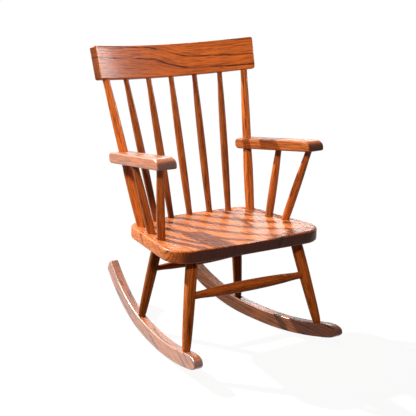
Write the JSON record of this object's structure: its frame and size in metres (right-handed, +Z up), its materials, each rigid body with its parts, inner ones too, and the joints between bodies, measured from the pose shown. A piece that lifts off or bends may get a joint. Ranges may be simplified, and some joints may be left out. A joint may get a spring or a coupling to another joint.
{
  "type": "child rocking chair",
  "caption": "Child's wooden rocking chair with a spindle back, bent crest rail, flat arms, saddled seat, splayed legs, cross stretchers and curved rockers.",
  "frame": {"origin": "on the floor, at the centre of the bounding box in plan", "axes": "+Z up, +Y from the front of the chair to its back, +X to the right as seen from the front"},
  "size_m": [0.4702, 0.5712, 0.6965],
  "materials": {
    "oak_seat": "stained oak, gloss varnish",
    "oak_crest": "stained oak, gloss varnish",
    "oak_arm": "stained oak, gloss varnish",
    "oak_rocker": "stained oak, gloss varnish",
    "oak_back_stick": "stained oak, gloss varnish",
    "oak_leg": "stained oak, gloss varnish"
  },
  "bodies": {
    "root": {"seat": "oak_seat", "crest_rail": "oak_crest", "arm_left": "oak_arm", "arm_right": "oak_arm", "rocker_left": "oak_rocker", "rocker_right": "oak_rocker", "back_post_left": "oak_back_stick", "back_post_right": "oak_back_stick", "back_spindle_1": "oak_back_stick", "back_spindle_2": "oak_back_stick", "back_spindle_3": "oak_back_stick", "back_spindle_4": "oak_back_stick", "back_spindle_5": "oak_back_stick", "arm_post_front_left": "oak_back_stick", "arm_post_front_right": "oak_back_stick", "arm_post_rear_left": "oak_back_stick", "arm_post_rear_right": "oak_back_stick", "leg_front_left": "oak_leg", "leg_front_right": "oak_leg", "leg_rear_left": "oak_leg", "leg_rear_right": "oak_leg", "stretcher_front": "oak_leg", "stretcher_rear": "oak_leg"}
  },
  "joints": []
}
